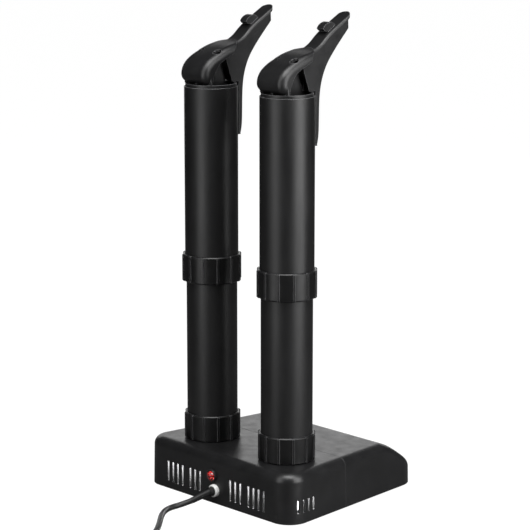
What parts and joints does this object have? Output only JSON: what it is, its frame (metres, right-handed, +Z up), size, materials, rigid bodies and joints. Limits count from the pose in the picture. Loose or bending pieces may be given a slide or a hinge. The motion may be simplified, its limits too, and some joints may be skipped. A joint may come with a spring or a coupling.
{
  "type": "boot dryer",
  "caption": "Free-standing convection boot dryer: vented base with a toe ramp, upright air tubes in two sections, each topped by a hooded outlet with a boot horn.",
  "frame": {"origin": "on the floor, in the middle of the object's box without its cord and plug", "axes": "+Z up along the tubes, -Y towards the toe ramp, +Y towards the vented rear wall with the cord, +X towards the left tower"},
  "size_m": [0.2691, 0.3668, 0.4832],
  "materials": {
    "base_plastic": "fine moulded grain",
    "tube_plastic": "satin, drawn tube",
    "collar_plastic": "satin moulding",
    "head_plastic": "satin moulding",
    "rubber": "matt",
    "screw_steel": "zinc plated",
    "sheet_steel": "bright folded sheet",
    "terminal_plastic": "natural",
    "wire_insulation": "smooth",
    "lens_red": "polished, translucent",
    "gland_grey": "smooth",
    "cord_sheath": "smooth PVC",
    "blade_brass": "plated",
    "ceramic": "unglazed",
    "heating_wire": "wound resistance wire"
  },
  "bodies": {
    "root": {"base_housing": "base_plastic", "bottom_plate": "base_plastic", "bottom_screws": "screw_steel", "cord_coil": "cord_sheath", "cord_gland": "gland_grey", "front_ramp": "base_plastic", "gland_bush": "rubber", "gland_nut": "gland_grey", "heat_shield": "sheet_steel", "indicator_bezel": "base_plastic", "indicator_body": "terminal_plastic", "indicator_lens": "lens_red", "indicator_nut": "terminal_plastic", "lead_wires": "wire_insulation", "left_base_seal": "rubber", "left_heater_coil": "heating_wire", "left_heater_ring": "ceramic", "left_thermal_cutoff": "terminal_plastic", "left_tower_spigot": "base_plastic", "plug_blades": "blade_brass", "plug_body": "cord_sheath", "power_cord": "cord_sheath", "right_base_seal": "rubber", "right_heater_coil": "heating_wire", "right_heater_ring": "ceramic", "right_thermal_cutoff": "terminal_plastic", "right_tower_spigot": "base_plastic", "rubber_feet": "rubber", "strain_relief": "cord_sheath", "terminal_block": "terminal_plastic"},
    "left_base_ring": {"left_base_collar": "collar_plastic"},
    "left_lower_section": {"left_lower_tube": "tube_plastic"},
    "left_mid_ring": {"left_mid_collar": "collar_plastic"},
    "left_upper_section": {"left_upper_tube": "tube_plastic"},
    "left_head": {"left_head_hood": "head_plastic", "left_head_horn": "head_plastic", "left_head_socket": "head_plastic"},
    "right_base_ring": {"right_base_collar": "collar_plastic"},
    "right_lower_section": {"right_lower_tube": "tube_plastic"},
    "right_mid_ring": {"right_mid_collar": "collar_plastic"},
    "right_upper_section": {"right_upper_tube": "tube_plastic"},
    "right_head": {"right_head_hood": "head_plastic", "right_head_horn": "head_plastic", "right_head_socket": "head_plastic"}
  },
  "joints": [
    {"name": "left_base_collar_twist", "type": "hinge", "parent": "root", "child": "left_base_ring", "pos_m": [0.0542, 0.0505, 0.064], "axis": [0, 0, 1], "range_deg": [0, 60]},
    {"name": "left_lower_tube_lift", "type": "slide", "parent": "root", "child": "left_lower_section", "axis": [0, 0, 1], "range_m": [0, 0.035]},
    {"name": "left_mid_collar_twist", "type": "hinge", "parent": "left_lower_section", "child": "left_mid_ring", "pos_m": [0.0542, 0.0505, 0.227], "axis": [0, 0, 1], "range_deg": [0, 60]},
    {"name": "left_upper_tube_lift", "type": "slide", "parent": "left_lower_section", "child": "left_upper_section", "axis": [0, 0, 1], "range_m": [0, 0.035]},
    {"name": "left_head_swivel", "type": "hinge", "parent": "left_upper_section", "child": "left_head", "pos_m": [0.0542, 0.0505, 0.408], "axis": [0, 0, 1], "range_deg": [-30, 30]},
    {"name": "right_base_collar_twist", "type": "hinge", "parent": "root", "child": "right_base_ring", "pos_m": [-0.0542, 0.0505, 0.064], "axis": [0, 0, 1], "range_deg": [0, 60]},
    {"name": "right_lower_tube_lift", "type": "slide", "parent": "root", "child": "right_lower_section", "axis": [0, 0, 1], "range_m": [0, 0.035]},
    {"name": "right_mid_collar_twist", "type": "hinge", "parent": "right_lower_section", "child": "right_mid_ring", "pos_m": [-0.0542, 0.0505, 0.227], "axis": [0, 0, 1], "range_deg": [0, 60]},
    {"name": "right_upper_tube_lift", "type": "slide", "parent": "right_lower_section", "child": "right_upper_section", "axis": [0, 0, 1], "range_m": [0, 0.035]},
    {"name": "right_head_swivel", "type": "hinge", "parent": "right_upper_section", "child": "right_head", "pos_m": [-0.0542, 0.0505, 0.408], "axis": [0, 0, 1], "range_deg": [-30, 30]}
  ]
}
